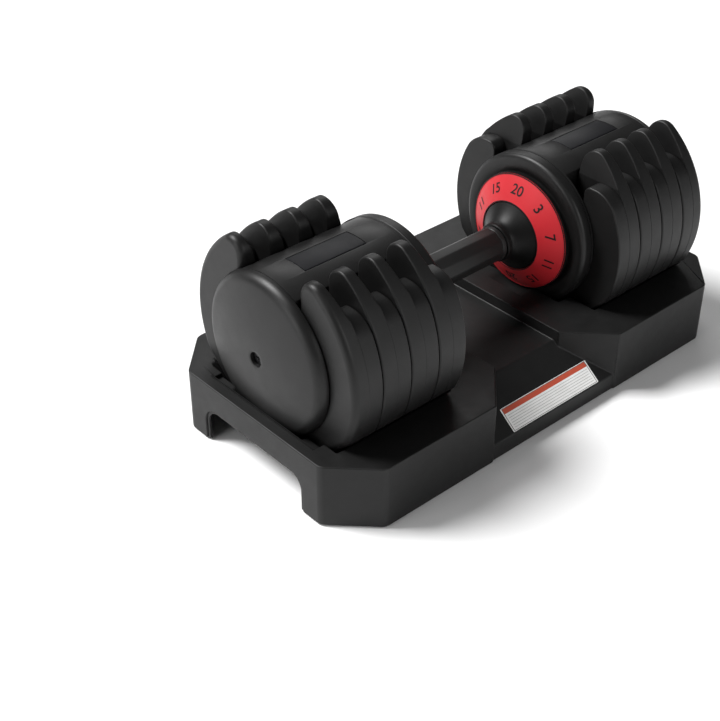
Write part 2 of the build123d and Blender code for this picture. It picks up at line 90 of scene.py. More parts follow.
# ---- sizes and colours that a user would change ----
class PlateSizes(bpy.types.PropertyGroup):
    radius: FloatProperty(name="Radius", description="Outer radius of a weight plate",
                          default=plate_high.y, unit="LENGTH")
    layer: FloatProperty(name="Inner layer", description="Thickness of the layer beside the handle",
                         default=0.0125, unit="LENGTH")
    notch: FloatProperty(name="Horn slot", description="Half width of the slot between the horns",
                         default=0.030, unit="LENGTH")
    horn_round: FloatProperty(name="Horn rounding", description="Rounding of a horn's tip",
                              default=0.012, unit="LENGTH")
    step_notch: FloatProperty(name="Shoulder slot", description="Half width of the inner layer's slot",
                              default=0.046, unit="LENGTH")
    step_rise: FloatProperty(name="Shoulder height", description="Top of the inner layer above the axis",
                             default=0.0525, unit="LENGTH")
    step_round: FloatProperty(name="Shoulder rounding", description="Rounding beside the shoulder's slot",
                              default=0.007, unit="LENGTH")
    step_outer: FloatProperty(name="Shoulder end", description="Rounding at the shoulder's outer end",
                              default=0.022, unit="LENGTH")
    taper: FloatProperty(name="Horn taper", description="Lean of the horns' inner side above the shoulders",
                         default=radians(12), unit="ROTATION")
    sole_half: FloatProperty(name="Sole", description="Half width of the flat sole", default=0.030,
                             unit="LENGTH")
    sole_drop: FloatProperty(name="Sole depth", description="Distance from the axis down to the sole",
                             default=AXIS - plate_low.z, unit="LENGTH")
    flank: FloatProperty(name="Flank", description="Angle below level where the slanted flank begins",
                         default=radians(25.5), unit="ROTATION")
    edge: FloatProperty(name="Edge", description="Rounding of a plate's outer rim", default=0.0016,
                        unit="LENGTH")
    last_edge: FloatProperty(name="Last edge", description="Rounding of the outermost plate's rim",
                             default=0.005, unit="LENGTH")
    seam: FloatProperty(name="Seam", description="Bevel where the two layers meet", default=0.0005,
                        unit="LENGTH")


class CoverSizes(bpy.types.PropertyGroup):
    radius: FloatProperty(name="Radius", description="Radius of discs, saddle and caps",
                          default=disc_high.y, unit="LENGTH")
    rim: FloatProperty(name="Disc rim", description="Rounding of the inner disc's rim", default=0.004,
                       unit="LENGTH")
    dome: FloatProperty(name="Dome", description="How far the end cap bulges", default=0.0066, unit="LENGTH")
    cap_round: FloatProperty(name="Cap rounding", description="Rounding of the end cap's rim",
                             default=0.0090, unit="LENGTH")
    well: FloatProperty(name="Screw well", description="Radius of the recess round the end screw",
                        default=0.0056, unit="LENGTH")
    well_depth: FloatProperty(name="Well depth", description="Depth of the screw's recess",
                              default=0.0065, unit="LENGTH")
    wall: FloatProperty(name="Wall", description="Wall of the saddle cover", default=0.0024, unit="LENGTH")
    seam: FloatProperty(name="Seam", description="Bevel along the covers' seams", default=0.0005, unit="LENGTH")
    badge_gap: FloatProperty(name="Badge groove", description="Groove round the badge", default=0.0005,
                             unit="LENGTH")


class HandleSizes(bpy.types.PropertyGroup):
    collar: FloatProperty(name="Collar", description="Radius of the hub's collar",
                          default=0.0154, unit="LENGTH")
    ring_inner: FloatProperty(name="Ring inside", description="Inner radius of the red ring",
                              default=0.0281, unit="LENGTH")
    facets: IntProperty(name="Facets", description="Flats along the grip", default=10, min=3)
    flat_end: FloatProperty(name="Plain end", description="Round length at each end of the grip",
                            default=0.0035, unit="LENGTH")
    digit_height: FloatProperty(name="Digit height", description="Height of the dial's numbers",
                                default=0.0084, unit="LENGTH")


class TraySizes(bpy.types.PropertyGroup):
    edge: FloatProperty(name="Edge", description="Rounding of the tray's edges",
                        default=0.0010, unit="LENGTH")
    band: FloatProperty(name="End band", description="Width of the flat band at each end",
                        default=0.0085, unit="LENGTH")
    arch_half: FloatProperty(name="Arch half width", description="Half width of the carrying arch",
                             default=0.055, unit="LENGTH")
    arch_height: FloatProperty(name="Arch height", description="Top of the carrying arch",
                               default=0.0315, unit="LENGTH")
    arch_round: FloatProperty(name="Arch rounding", description="Corner radius of the carrying arch",
                              default=0.014, unit="LENGTH")
    lip: FloatProperty(name="Arch lip", description="Width of the lip inside the arch", default=0.0024,
                       unit="LENGTH")
    lip_back: FloatProperty(name="Lip setback", description="How far the lip sits behind the end face",
                            default=0.0012, unit="LENGTH")
    lip_depth: FloatProperty(name="Lip depth", description="Thickness of the lip", default=0.0016,
                             unit="LENGTH")
    chamfer: FloatProperty(name="Corner cut", description="Width of the tray's cut corners", default=0.032,
                           unit="LENGTH")
    corner: FloatProperty(name="Corner rounding", description="Rounding of the tray's upright edges",
                          default=0.0032, unit="LENGTH")
    ramp: FloatProperty(name="Ramp", description="Depth of the sloping facets by each well's far corner",
                        default=0.0022, unit="LENGTH")


class Finishes(bpy.types.PropertyGroup):
    black: FloatVectorProperty(name="Plate black", description="Moulded black of plates and covers",
                               subtype="COLOR", size=3, default=(0.0062, 0.0061, 0.0061))
    tray: FloatVectorProperty(name="Tray black", description="Black of the storage tray", subtype="COLOR",
                              size=3, default=(0.0060, 0.0060, 0.0060))
    red: FloatVectorProperty(name="Dial red", description="Red of the dial rings", subtype="COLOR",
                             size=3, default=(0.52, 0.020, 0.028))
    orange: FloatVectorProperty(name="Label band", description="Band across the label", subtype="COLOR",
                                size=3, default=(0.52, 0.085, 0.045))


# ---- modelling helpers ----
def deselect():
    """Leave edit mode and select nothing."""
    if bpy.context.mode != "OBJECT":
        bpy.ops.object.mode_set(mode="OBJECT")
    bpy.ops.object.select_all(action="DESELECT")


def take(*objs):
    """Select these objects only; the first is active."""
    deselect()
    for obj in objs:
        obj.select_set(True)
    bpy.context.view_layer.objects.active = objs[0]
    return objs[0]


def edit(obj, pick="SELECT", kind="VERT"):
    """Enter edit mode on one object with everything, or nothing, selected."""
    take(obj)
    bpy.ops.object.mode_set(mode="EDIT")
    bpy.ops.mesh.select_mode(type=kind)
    bpy.ops.mesh.select_all(action=pick)


def drawn(name, points):
    """A chain of edges extruded from one vertex through the points."""
    deselect()
    bpy.ops.mesh.primitive_plane_add(size=0.001, location=(0, 0, 0))
    obj = bpy.context.object
    obj.name = obj.data.name = name
    edit(obj)
    bpy.ops.mesh.merge(type="CENTER")
    bpy.ops.transform.translate(value=points[0])
    for before, after in zip(points, points[1:]):
        move = [b - a for a, b in zip(before, after)]
        bpy.ops.mesh.extrude_vertices_move(TRANSFORM_OT_translate={"value": move})
    return obj


def lathe(name, profile, steps=144):
    """Spin a closed profile of (x, radius) corners once round the handle's axis."""
    points = [(x, 0.0, AXIS + r) for x, r in profile]
    obj = drawn(name, points)
    bpy.ops.mesh.select_all(action="SELECT")
    bpy.ops.mesh.remove_doubles(threshold=1e-7)
    bpy.ops.mesh.spin(steps=steps, angle=2 * pi, center=(0, 0, AXIS), axis=(1, 0, 0))
    bpy.ops.mesh.select_all(action="SELECT")
    bpy.ops.mesh.remove_doubles(threshold=2e-6)
    bpy.ops.mesh.normals_make_consistent(inside=False)
    bpy.ops.object.mode_set(mode="OBJECT")
    return obj


def prism(name, corners, shift):
    """Fill a closed loop of corners and extrude it along a shift."""
    obj = drawn(name, corners)
    bpy.ops.mesh.select_all(action="SELECT")
    bpy.ops.mesh.edge_face_add()
    bpy.ops.mesh.extrude_region_move(TRANSFORM_OT_translate={"value": shift})
    bpy.ops.mesh.select_all(action="SELECT")
    bpy.ops.mesh.normals_make_consistent(inside=False)
    bpy.ops.object.mode_set(mode="OBJECT")
    return obj


def slab(name, outline, start, length):
    """Extrude a closed outline of (y, height above the axis) corners along X."""
    return prism(name, [(start, y, AXIS + z) for y, z in outline], (length, 0, 0))


def arc(centre, radius, first, last, count):
    """Points on an arc, angles in degrees, both ends kept."""
    step = (last - first) / count
    return [(centre[0] + radius * cos(radians(first + step * i)),
             centre[1] + radius * sin(radians(first + step * i))) for i in range(count + 1)]


def choose_edges(obj, test):
    """In edit mode, select the edges whose two ends and face angle pass a test."""
    edit(obj, "DESELECT", "EDGE")
    mesh = bmesh.from_edit_mesh(obj.data)
    for e in mesh.edges:
        e.select_set(test(e))
    mesh.select_flush_mode()
    bmesh.update_edit_mesh(obj.data)


def sharp(e, limit=30):
    return len(e.link_faces) == 2 and e.calc_face_angle(0.0) > radians(limit)


def apply_modifier(obj, kind, **settings):
    take(obj)
    mod = obj.modifiers.new(kind.title(), kind)
    for key, value in settings.items():
        setattr(mod, key, value)
    bpy.ops.object.modifier_apply(modifier=mod.name)


def softened(obj, width, segments=2, limit=30):
    """Round every edge sharper than the limit."""
    apply_modifier(obj, "BEVEL", width=width, segments=segments, limit_method="ANGLE",
                   angle_limit=radians(limit), use_clamp_overlap=False, miter_outer="MITER_ARC")
    return obj


def carved(obj, cutter, how="DIFFERENCE"):
    apply_modifier(obj, "BOOLEAN", operation=how, object=cutter, solver="EXACT")
    bpy.data.objects.remove(cutter)
    return obj


def joined(*objs):
    if len(objs) > 1:
        take(*objs)
        bpy.ops.object.join()
    return objs[0]


def moved_copy(obj, name, shift):
    """A copy with its own mesh, moved along X."""
    deselect()
    twin = obj.copy()
    twin.data = obj.data.copy()
    twin.name = twin.data.name = name
    bpy.context.scene.collection.objects.link(twin)
    twin.location.x += shift
    take(twin)
    bpy.ops.object.transform_apply(location=True, rotation=True, scale=True)
    return twin


def mirrored_copy(obj, name):
    """The same piece for the other head."""
    twin = moved_copy(obj, name, 0.0)
    twin.scale.x = -1
    take(twin)
    bpy.ops.object.transform_apply(location=False, rotation=False, scale=True)
    edit(twin)
    bpy.ops.mesh.normals_make_consistent(inside=False)
    bpy.ops.object.mode_set(mode="OBJECT")
    return twin


def finished(obj, name, body, material, nodes, smooth=32, flat=False):
    """Name, shade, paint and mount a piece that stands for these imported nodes."""
    obj.name = obj.data.name = name
    take(obj)
    bpy.ops.object.shade_smooth_by_angle(angle=radians(smooth))
    if flat:
        apply_modifier(obj, "WEIGHTED_NORMAL", keep_sharp=True, weight=50)
    if material is not None:
        obj.data.materials.clear()
        obj.data.materials.append(material)
    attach(obj, body)
    if nodes:
        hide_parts(*nodes)
    return obj


# ---- materials ----
def blank(name):
    """A new material with its shader, and a function that adds wired nodes."""
    mat = bpy.data.materials.new(name)
    mat.use_nodes = True
    tree = mat.node_tree
    shader = tree.nodes["Principled BSDF"]

    def add(kind, inputs=None, **settings):
        node = tree.nodes.new(kind)
        for key, value in settings.items():
            setattr(node, key, value)
        for key, value in (inputs or {}).items():
            if isinstance(value, bpy.types.NodeSocket):
                tree.links.new(value, node.inputs[key])
            else:
                node.inputs[key].default_value = value
        return node

    def wire(socket, name):
        tree.links.new(socket, shader.inputs[name])

    return mat, shader, add, wire


def shade(colour, amount):
    return (min(colour[0] * amount, 1), min(colour[1] * amount, 1), min(colour[2] * amount, 1), 1)


def coordinates(add, stretch=(1, 1, 1)):
    place = add("ShaderNodeTexCoord").outputs["Object"]
    return add("ShaderNodeMapping", {"Vector": place, "Scale": stretch}).outputs["Vector"]


def noise(add, vector, scale, detail=3.0, roughness=0.55):
    return add("ShaderNodeTexNoise", {"Vector": vector, "Scale": scale, "Detail": detail,
                                      "Roughness": roughness}).outputs["Fac"]


def spread(add, value, low, high):
    return add("ShaderNodeMapRange", {"Value": value, "From Min": 0.3, "From Max": 0.7,
                                      "To Min": low, "To Max": high}).outputs["Result"]


def mixed(add, factor, first, second, blend="MIX"):
    return add("ShaderNodeMix", {0: factor, 6: first, 7: second}, data_type="RGBA",
               blend_type=blend).outputs[2]


def moulded(name, colour, rough=(0.34, 0.46), grain=2600.0, depth=0.00004, spec=0.3, tint=(0.86, 1.16)):
    """Injection-moulded plastic: fine spark grain, slight flow marks and uneven gloss."""
    mat, shader, add, wire = blank(name)
    place = coordinates(add)
    broad = noise(add, place, 14.0, 2.0)
    mid = noise(add, place, 85.0, 3.0)
    fine = noise(add, place, grain, 2.0, 0.6)
    flow = noise(add, coordinates(add, (0.35, 1.0, 1.0)), 46.0, 4.0)
    both = add("ShaderNodeMath", {0: broad, 1: flow}, operation="MULTIPLY_ADD")
    both.inputs[2].default_value = 0.24
    wire(mixed(add, spread(add, both.outputs[0], 0.0, 1.0), shade(colour, tint[0]), shade(colour, tint[1])),
         "Base Color")
    gloss = add("ShaderNodeMath", {0: mid, 1: fine}, operation="ADD").outputs[0]
    halved = add("ShaderNodeMath", {0: gloss, 1: 0.5}, operation="MULTIPLY").outputs[0]
    wire(spread(add, halved, *rough), "Roughness")
    shader.inputs["Specular IOR Level"].default_value = spec
    bump = add("ShaderNodeBump", {"Height": fine, "Strength": 0.55, "Distance": depth})
    ripple = add("ShaderNodeBump", {"Height": flow, "Strength": 0.25, "Distance": 0.0003,
                                    "Normal": bump.outputs["Normal"]})
    wire(ripple.outputs["Normal"], "Normal")
    return mat


def rubber(name, colour, rough=(0.55, 0.72)):
    """Soft rubber with a dusty bloom."""
    mat, shader, add, wire = blank(name)
    place = coordinates(add)
    cloud = noise(add, place, 60.0, 4.0)
    fine = noise(add, place, 3200.0, 2.0)
    wire(mixed(add, spread(add, cloud, 0, 1), shade(colour, 0.85), shade(colour, 1.3)), "Base Color")
    wire(spread(add, cloud, *rough), "Roughness")
    shader.inputs["Sheen Weight"].default_value = 0.15
    shader.inputs["Sheen Roughness"].default_value = 0.5
    bump = add("ShaderNodeBump", {"Height": fine, "Strength": 0.5, "Distance": 0.00006})
    wire(bump.outputs["Normal"], "Normal")
    return mat


def metal(name, colour, rough=(0.22, 0.4), streak=(0.05, 1.0, 1.0), depth=0.00002):
    """Turned or plated metal: fine lay, cloudy plating and uneven gloss."""
    mat, shader, add, wire = blank(name)
    lay = noise(add, coordinates(add, streak), 1800.0, 2.0)
    cloud = noise(add, coordinates(add), 90.0, 4.0)
    wire(mixed(add, spread(add, cloud, 0, 1), shade(colour, 0.78), shade(colour, 1.1)), "Base Color")
    wire(spread(add, lay, *rough), "Roughness")
    shader.inputs["Metallic"].default_value = 1.0
    bump = add("ShaderNodeBump", {"Height": lay, "Strength": 0.4, "Distance": depth})
    wire(bump.outputs["Normal"], "Normal")
    return mat


def sticker(name, band):
    """White vinyl with a coloured band along its top, ruled lines to write on and a thin border."""
    mat, shader, add, wire = blank(name)
    wide, deep = label_high.x - label_low.x, label_high.y - label_low.y
    place = add("ShaderNodeTexCoord").outputs["Object"]
    place = add("ShaderNodeMapping", {"Vector": place, "Scale": (1 / wide, 1 / deep, 1),
                                      "Location": (-label_low.x / wide, -label_low.y / deep, 0)})
    parts = add("ShaderNodeSeparateXYZ", {"Vector": place.outputs["Vector"]})
    across, up = parts.outputs["X"], parts.outputs["Y"]

    def maths(operation, first, second=0.0):
        return add("ShaderNodeMath", {0: first, 1: second}, operation=operation).outputs[0]

    def between(value, low, high):
        return maths("MULTIPLY", maths("GREATER_THAN", value, low), maths("LESS_THAN", value, high))

    def panel(edge_up, edge_across, top_up=None):
        tall = between(up, edge_up, 1 - edge_up if top_up is None else top_up)
        return maths("MULTIPLY", tall, between(across, edge_across, 1 - edge_across))

    cloud = noise(add, coordinates(add), 120.0, 3.0)
    white = mixed(add, spread(add, cloud, 0, 1), (0.82, 0.815, 0.80, 1), (0.90, 0.90, 0.89, 1))
    teeth = maths("FRACT", maths("MULTIPLY", up, 10.0))
    mask = maths("MULTIPLY", between(teeth, 0.42, 0.58), panel(0.13, 0.035, 0.70))
    ruled = mixed(add, mask, white, (0.34, 0.34, 0.34, 1))
    border = maths("MULTIPLY", maths("SUBTRACT", 1.0, panel(0.055, 0.017)), panel(0.035, 0.011))
    ruled = mixed(add, border, ruled, (0.10, 0.10, 0.10, 1))
    head = panel(0.745, 0.017, 0.945)
    wire(mixed(add, head, ruled, shade(band, 1.0)), "Base Color")
    wire(spread(add, cloud, 0.35, 0.5), "Roughness")
    bump = add("ShaderNodeBump", {"Height": cloud, "Strength": 0.2, "Distance": 0.0001})
    wire(bump.outputs["Normal"], "Normal")
    return mat


def finish_named(name):
    """The object's finishes, each made once."""
    made = bpy.data.materials.get(name)
    if made is not None and made.get("dumbbell_finish"):
        return made
    look = bpy.context.scene.dumbbell_finishes
    black, tray = tuple(look.black), tuple(look.tray)
    recipes = {
        "plate_black": lambda: moulded(name, black, (0.40, 0.52)),
        "cover_black": lambda: moulded(name, shade(black, 1.05), (0.36, 0.48)),
        # A darker copy of the plate black: painted shade on the hub's flare, which sits recessed inside the red
        # ring.
        "hub_black_painted_shade": lambda: moulded(name, shade(black, 0.6), (0.38, 0.50), grain=3200.0, spec=0.18),
        "grip_black": lambda: moulded(name, shade(black, 1.25), (0.42, 0.55), grain=1500.0, depth=0.00008),
        "tray_black": lambda: moulded(name, tray, (0.42, 0.56), grain=2000.0, depth=0.00006),
        "badge_film": lambda: moulded(name, (0.0030, 0.0031, 0.0044), (0.42, 0.52), grain=4200.0, depth=0.00001,
                                      spec=0.2),
        "dial_red": lambda: moulded(name, tuple(look.red), (0.40, 0.52), tint=(0.93, 1.05)),
        # Ink of the printed digits, also used for the painted shadow rings at the red ring's edges.
        "digit_ink_and_gap_shadow": lambda: moulded(name, (0.006, 0.006, 0.007), (0.5, 0.65), spec=0.2),
        "frame_plastic_black": lambda: moulded(name, shade(black, 0.9), (0.5, 0.62)),
        "nylon_grey": lambda: moulded(name, (0.42, 0.42, 0.41), (0.42, 0.55)),
        "foot_rubber": lambda: rubber(name, (0.025, 0.025, 0.026)),
        "turned_steel": lambda: metal(name, (0.56, 0.56, 0.57)),
        "zinc_plate": lambda: metal(name, (0.62, 0.63, 0.66), (0.28, 0.45)),
        "black_oxide": lambda: metal(name, (0.05, 0.05, 0.052), (0.3, 0.45)),
        "sintered_bronze": lambda: metal(name, (0.60, 0.42, 0.24), (0.4, 0.55), (1, 1, 1), 0.00006),
        "label_vinyl_white": lambda: sticker(name, tuple(look.orange)),
    }
    mat = recipes[name]()
    mat["dumbbell_finish"] = True
    return mat


def repaint(material, *nodes):
    """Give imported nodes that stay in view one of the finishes."""
    for node in nodes:
        obj = frame["nodes"][node]
        obj.data.materials.clear()
        obj.data.materials.append(finish_named(material))


# ---- the plates ----
def horn_outline(s):
    """Outer layer: two tall horns beside a narrow round-bottomed slot."""
    r, centre_y = s.horn_round, s.notch + s.horn_round
    centre_z = sqrt((s.radius - r) ** 2 - centre_y**2)
    turn = degrees(atan2(centre_z, centre_y))
    low = -degrees(s.flank)
    half = arc((centre_y, centre_z), r, 180, turn, 12)
    half += arc((0, 0), s.radius, turn, low, 34)[1:]
    half += [(s.sole_half, -s.sole_drop)]
    other = [(-y, z) for y, z in reversed(half)]
    slot = arc((0, 0), s.notch, 180, 360, 30)
    return half + other + slot


def step_outline(s):
    """Inner layer: lower shoulders beside a wide slot."""
    r, end_r = s.step_round, s.step_outer
    outer_y = sqrt((s.radius - end_r) ** 2 - (s.step_rise - end_r) ** 2)
    turn = degrees(atan2(s.step_rise - end_r, outer_y))
    low = -degrees(s.flank)
    half = arc((s.step_notch + r, s.step_rise - r), r, 180, 90, 8)
    half += arc((outer_y, s.step_rise - end_r), end_r, 90, turn, 12)
    half += arc((0, 0), s.radius, turn, low, 24)[1:]
    half += [(s.sole_half, -s.sole_drop)]
    other = [(-y, z) for y, z in reversed(half)]
    slot = arc((0, 0), s.step_notch, 180, 360, 40)
    return half + other + slot


def plate_layer(name, outline, start, length, inner_edge, outer_edge):
    """One layer with its own rounding on the face towards the handle and on the outer face."""
    obj = slab(name, outline, start, length)
    for x, width in ((start + length, outer_edge), (start, inner_edge)):
        choose_edges(obj, lambda e: sharp(e, 60) and all(abs(v.co.x - x) < 1e-5 for v in e.verts))
        bpy.ops.mesh.bevel(offset=width, segments=6 if width > 0.003 else 3, profile=0.5)
    bpy.ops.object.mode_set(mode="OBJECT")
    return obj


def horn_layer(s, start, end, outer_edge):
    """The outer layer, its horns thinning towards their tips above the shoulders."""
    obj = slab("horn", horn_outline(s), start, end - start)
    low, high, wide = AXIS + s.step_rise, AXIS + s.radius * 1.1, s.radius * 1.2
    slope = tan(s.taper)
    corners = [(start - 0.002, -wide, low), (start, -wide, low), (start + (high - low) * slope, -wide, high),
               (start - 0.002, -wide, high)]
    obj = carved(obj, prism("wedge", corners, (0, 2 * wide, 0)))

    def inner(v):
        return abs(v.co.x - start - max(v.co.z - low, 0) * slope) < 2e-5

    choose_edges(obj, lambda e: sharp(e, 60) and all(abs(v.co.x - end) < 1e-5 for v in e.verts))
    bpy.ops.mesh.bevel(offset=outer_edge, segments=6 if outer_edge > 0.003 else 3, profile=0.5)
    choose_edges(obj, lambda e: sharp(e, 60) and all(inner(v) and v.co.z > low + 0.0002 for v in e.verts))
    bpy.ops.mesh.bevel(offset=s.edge * 0.6, segments=3, profile=0.5)
    choose_edges(obj, lambda e: sharp(e, 5) and all(abs(v.co.z - low) < 2e-5 for v in e.verts))
    bpy.ops.mesh.mark_sharp()
    bpy.ops.object.mode_set(mode="OBJECT")
    return obj


class DUMBBELL_OT_plates(bpy.types.Operator):
    """Model the eight weight plates, each with a horn layer and a shoulder layer"""
    bl_idname = "dumbbell.plates"
    bl_label = "Weight plates"

    def execute(self, context):
        s = context.scene.dumbbell_plates
        black = finish_named("plate_black")
        for number in PLATE_NUMBERS:
            low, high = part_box("weight_jacket_right_%d" % number)
            if number in (1, 4):
                outer = s.last_edge if number == 4 else s.edge
                split = low.x + s.layer
                step = plate_layer("step", step_outline(s), low.x, s.layer, s.edge * 0.8, s.seam)
                horn = horn_layer(s, split, high.x, outer)
                right = joined(horn, step)
                if number == 1:
                    pattern, pattern_x = right, low.x
            else:
                right = moved_copy(pattern, "plate", low.x - pattern_x)
            left = mirrored_copy(right, "plate_left")
            for side, obj in (("right", right), ("left", left)):
                node = "weight_jacket_%s_%d" % (side, number)
                finished(obj, "plate_%s_%d" % (side, number), "weight_%s_%d" % (side, number), black,
                         [node], flat=True)
        return {"FINISHED"}


# ---- covers ----
def pair(obj, name, body, material, node, smooth=32):
    """Finish a right-hand piece and its twin on the left."""
    twin = mirrored_copy(obj, name + "_left")
    for side, one in (("right", obj), ("left", twin)):
        finished(one, name + "_" + side, body, material, [node + "_" + side] if node else [], smooth)


class DUMBBELL_OT_end_caps(bpy.types.Operator):
    """Model the domed end caps with their screw wells"""
    bl_idname = "dumbbell.end_caps"
    bl_label = "End caps"

    def execute(self, context):
        s = context.scene.dumbbell_covers
        start, end, radius, r = cap_low.x, cap_high.x, s.radius, s.cap_round
        sphere = (radius**2 + s.dome**2) / (2 * s.dome)
        tip = end + 0.0001
        middle = tip - sphere
        inside_r = radius - r
        centre_x = middle + sqrt((sphere - r) ** 2 - inside_r**2)
        turn = degrees(atan2(inside_r, centre_x - middle))
        back = 0.003
        profile = [(start, radius - 0.0030), (start, radius - s.seam), (start + s.seam, radius)]
        rounding = arc((centre_x, inside_r), r, 90, turn, 14)
        profile += [p for p in rounding if p[0] > start + s.seam * 1.5]
        lowest = degrees(asin((s.well + 0.0006) / sphere))
        profile += arc((middle, 0), sphere, turn, lowest, 22)[1:]
        lip_x = middle + sphere * cos(radians(lowest))
        profile += [(lip_x - 0.0002, s.well + 0.0002), (lip_x - 0.0007, s.well)]
        floor = end - s.well_depth
        profile += [(floor, s.well), (floor, 0.0033), (floor - back, 0.0033), (floor - back, s.well + 0.003)]
        profile += [(end - 0.0110, 0.030), (start + 0.0040, radius - 0.0105), (start + 0.0036, radius - 0.0032)]
        profile += [profile[0]]
        cap = lathe("cap", profile, 180)
        pair(cap, "cap", "carriage", finish_named("cover_black"), "end_cap", 40)
        return {"FINISHED"}


class DUMBBELL_OT_inner_discs(bpy.types.Operator):
    """Model the round discs that face the grip"""
    bl_idname = "dumbbell.inner_discs"
    bl_label = "Inner discs"

    def execute(self, context):
        s = context.scene.dumbbell_covers
        front, back, radius = disc_low.x, disc_high.x, s.radius
        bore = 0.0125
        profile = [(front, bore)]
        profile += [(front, 0.0462), (front + 0.0004, 0.0468), (front + 0.0004, 0.0484), (front, 0.0490)]
        profile += arc((front + s.rim, radius - s.rim), s.rim, 180, 90, 10)
        profile += [(back - s.seam, radius), (back, radius - s.seam), (back, radius - 0.003)]
        profile += [(back - 0.0006, radius - 0.0034), (back - 0.0006, bore), profile[0]]
        disc = lathe("disc", profile, 180)
        pair(disc, "inner_disc_cover", "carriage", finish_named("cover_black"),
             "inner_disc", 40)
        return {"FINISHED"}


class DUMBBELL_OT_saddles(bpy.types.Operator):
    """Model the saddle covers over the plates' slots, and the blank badges set into them"""
    bl_idname = "dumbbell.saddles"
    bl_label = "Saddle covers"

    def execute(self, context):
        s = context.scene.dumbbell_covers
        radius, half, skirt = s.radius, saddle_high.y, saddle_low.z - AXIS
        start, length = saddle_low.x, saddle_high.x - saddle_low.x
        edge = degrees(asin(half / radius))
        outer = [(-half, skirt)] + arc((0, 0), radius, 90 + edge, 90 - edge, 36) + [(half, skirt)]
        inside = half - s.wall
        inner_edge = degrees(asin(inside / (radius - s.wall)))
        inner = [(inside, skirt)] + arc((0, 0), radius - s.wall, 90 - inner_edge, 90 + inner_edge, 36)
        inner += [(-inside, skirt)]
        shell = slab("shell", outer + inner, start, length)
        badge_half, gap = badge_high.y, s.badge_gap
        deep = 0.0010
        spread_angle = degrees(asin((badge_half + gap) / radius))
        cut = arc((0, 0), radius + 0.002, 90 + spread_angle, 90 - spread_angle, 16)
        cut += arc((0, 0), radius - deep, 90 - spread_angle, 90 + spread_angle, 16)
        cutter = slab("cutter", cut, badge_low.x - gap, badge_high.x - badge_low.x + 2 * gap)
        shell = softened(carved(shell, cutter), 0.0003, 2, 40)
        pair(shell, "saddle", "carriage", finish_named("cover_black"), "saddle_cover", 30)
        spread_angle = degrees(asin(badge_half / radius))
        top = radius - 0.0001
        film = arc((0, 0), top, 90 + spread_angle, 90 - spread_angle, 16)
        film += arc((0, 0), radius - deep + 0.00005, 90 - spread_angle, 90 + spread_angle, 16)
        badge = slab("badge", film, badge_low.x, badge_high.x - badge_low.x)
        badge = softened(badge, 0.00025, 2, 40)
        pair(badge, "badge_blank", "carriage", finish_named("badge_film"), "badge", 30)
        repaint("frame_plastic_black", "core_frame_right", "core_frame_left")
        return {"FINISHED"}


# ---- dial and handle ----
def dial_numbers(side, s, radii, xs):
    """The ten dial numbers, laid on the cone of the ring with their tops outwards."""
    words = ("20", "3", "7", "11", "15") * 2
    sign = 1 if side == "right" else -1
    slope = Vector((xs[1] - xs[0], radii[1] - radii[0]))
    slant = slope.length
    pieces = []
    for index, word in enumerate(words):
        deselect()
        bpy.ops.object.text_add(location=(0, 0, 0))
        text = bpy.context.object
        text.data.body = word
        text.data.size = s.digit_height / 0.73
        text.data.align_x, text.data.align_y = "CENTER", "CENTER"
        text.data.offset = 0.00013
        text.data.resolution_u = 6
        bpy.ops.object.convert(target="MESH")
        digits = bpy.context.object
        turn = radians(90 - 36 * index)
        for v in digits.data.vertices:
            along = slant * 0.5 + v.co.y
            share = along / slant
            r = radii[0] + slope.y * share
            x = xs[0] + slope.x * share - 0.00016
            angle = turn - sign * v.co.x / r
            v.co = (sign * x, -cos(angle) * r, AXIS + sin(angle) * r)
        pieces.append(digits)
    numbers = joined(*pieces)
    edit(numbers)
    bpy.ops.mesh.remove_doubles(threshold=1e-7)
    bpy.ops.mesh.normals_make_consistent(inside=False)
    bpy.ops.object.mode_set(mode="OBJECT")
    faces = numbers.data.polygons
    if faces and sum(f.normal.x * f.area for f in faces) * sign > 0:
        edit(numbers)
        bpy.ops.mesh.flip_normals()
        bpy.ops.object.mode_set(mode="OBJECT")
    return finished(numbers, "dial_numbers_" + side, "selector", finish_named("digit_ink_and_gap_shadow"), [])


